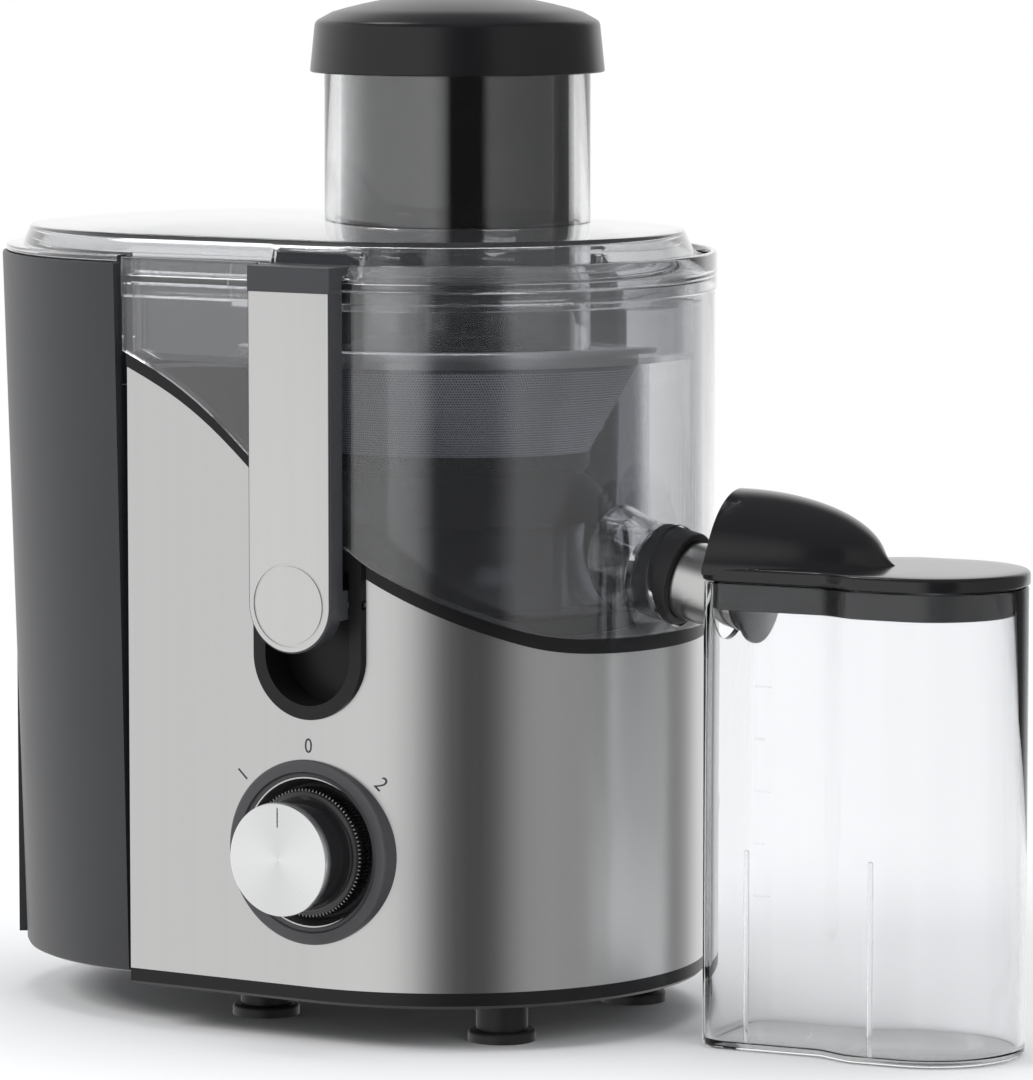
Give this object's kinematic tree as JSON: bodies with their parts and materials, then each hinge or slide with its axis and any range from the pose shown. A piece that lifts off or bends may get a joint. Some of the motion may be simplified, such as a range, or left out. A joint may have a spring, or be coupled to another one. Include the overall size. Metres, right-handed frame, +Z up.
{
  "type": "centrifugal juicer",
  "caption": "Upright centrifugal juicer with a steel-fronted motor base, clear bowl and lid, feed tube and pusher, side pulp bin, latches, speed knob, spout and lidded jug.",
  "frame": {"origin": "on the floor, under the middle of the whole part's box", "axes": "+X from the pulp bin towards the juice jug, -Y towards the front with the knob, +Z up"},
  "size_m": [0.3484, 0.1898, 0.32],
  "materials": {
    "stainless_panel": "vertically brushed stainless sheet",
    "latch_aluminium": "satin anodised",
    "spun_aluminium": "spun face",
    "chromed_spout": "polished stainless tube",
    "sieve_steel": "perforated stainless steel",
    "zinc_steel": "zinc plated",
    "bearing_steel": "ground steel",
    "laminated_iron": "varnished laminations",
    "enamelled_copper": "enamelled copper wire",
    "commutator_copper": "turned copper bars",
    "carbon": "pressed carbon",
    "switch_resin": "moulded phenolic resin",
    "fan_nylon": "moulded nylon",
    "dark_plastic": "moulded, fine satin texture",
    "bin_plastic": "satin moulded",
    "grip_plastic": "textured grip",
    "black_plastic": "satin moulded",
    "latch_plastic": "satin moulded",
    "knob_black": "semi-gloss",
    "satin_black": "satin moulded",
    "gloss_black": "high gloss",
    "rubber": "moulded rubber",
    "clear_smoke": "clear plastic with a smoky blue-grey tint",
    "clear_rim": "rolled stainless rim",
    "chamber_smoke": "translucent plastic with a dark smoky blue-grey tint",
    "clear_jug": "clear plastic",
    "smoke_plastic": "dark smoky translucent plastic"
  },
  "bodies": {
    "base": {"base_housing": "dark_plastic", "bottom_cover": "black_plastic", "bottom_screws": "zinc_steel", "bowl_seal": "rubber", "bowl_shroud": "clear_smoke", "bowl_tray": "clear_smoke", "brush_holders": "switch_resin", "carbon_brushes": "carbon", "chamber_dome": "chamber_smoke", "cord_gland": "rubber", "field_windings": "enamelled_copper", "foot_front_left": "rubber", "foot_front_right": "rubber", "foot_rear_left": "rubber", "foot_rear_right": "rubber", "front_panel": "stainless_panel", "juice_chamber": "chamber_smoke", "knob_bezel": "black_plastic", "latch_pin_front": "zinc_steel", "latch_pin_rear": "zinc_steel", "latch_pocket_front": "black_plastic", "latch_pocket_rear": "black_plastic", "lower_bearing": "bearing_steel", "lower_bracket": "zinc_steel", "motor_mounts": "rubber", "motor_screws": "zinc_steel", "motor_tower": "black_plastic", "safety_switch": "switch_resin", "shaft_seal": "rubber", "spout_seal": "rubber", "spout_stub": "clear_smoke", "spout_tube": "chromed_spout", "stator_core": "laminated_iron", "switch_body": "switch_resin", "trim_band": "black_plastic", "upper_bearing": "bearing_steel", "upper_bracket": "zinc_steel"},
    "rotor": {"motor_shaft": "bearing_steel", "armature": "laminated_iron", "commutator": "commutator_copper", "cooling_fan": "fan_nylon", "drive_coupling": "fan_nylon", "basket_hub": "black_plastic", "sieve_cone": "sieve_steel", "basket_rim": "clear_rim", "grater_disc": "sieve_steel"},
    "lid": {"lid": "clear_smoke", "feed_tube": "clear_smoke"},
    "pusher": {"pusher_body": "smoke_plastic", "pusher_cap": "satin_black"},
    "front_latch": {"latch_arm_front": "latch_plastic", "latch_plate_front": "latch_aluminium"},
    "rear_latch": {"latch_arm_rear": "latch_plastic", "latch_plate_rear": "latch_aluminium"},
    "pulp_bin": {"pulp_bin": "bin_plastic", "bin_grip": "grip_plastic"},
    "jug": {"jug": "clear_jug"},
    "jug_lid": {"jug_lid": "gloss_black"},
    "speed_knob": {"knob_body": "knob_black", "knob_cap": "spun_aluminium"}
  },
  "joints": [
    {"name": "rotor_spin", "type": "hinge", "parent": "base", "child": "rotor", "pos_m": [-0.02201, 0.0034, 0], "axis": [0, 0, 1], "continuous": true},
    {"name": "lid_lift", "type": "slide", "parent": "base", "child": "lid", "axis": [0, 0, 1], "range_m": [0, 0.05]},
    {"name": "pusher_slide", "type": "slide", "parent": "lid", "child": "pusher", "axis": [0, 0, 1], "range_m": [0, 0.11]},
    {"name": "front_latch_swing", "type": "hinge", "parent": "base", "child": "front_latch", "pos_m": [-0.02201, -0.0766, 0.137], "axis": [1, 0, 0], "range_deg": [0, 40]},
    {"name": "rear_latch_swing", "type": "hinge", "parent": "base", "child": "rear_latch", "pos_m": [-0.02201, 0.0834, 0.137], "axis": [-1, 0, 0], "range_deg": [0, 40]},
    {"name": "bin_slide", "type": "slide", "parent": "base", "child": "pulp_bin", "axis": [-1, 0, 0], "range_m": [0, 0.1]},
    {"name": "jug_slide", "type": "slide", "parent": "base", "child": "jug", "axis": [0.9945, 0.1045, 0], "range_m": [0, 0.07]},
    {"name": "jug_lid_lift", "type": "slide", "parent": "jug", "child": "jug_lid", "axis": [0, 0, 1], "range_m": [0, 0.06]},
    {"name": "knob_turn", "type": "hinge", "parent": "base", "child": "speed_knob", "pos_m": [-0.02201, -0.0776, 0.0601], "axis": [0, -1, 0], "range_deg": [-45, 45]}
  ],
  "couplings": [
    {"joint": "front_latch_swing", "follows": "lid_lift", "rad_per_m": 13.96},
    {"joint": "rear_latch_swing", "follows": "lid_lift", "rad_per_m": 13.96}
  ]
}
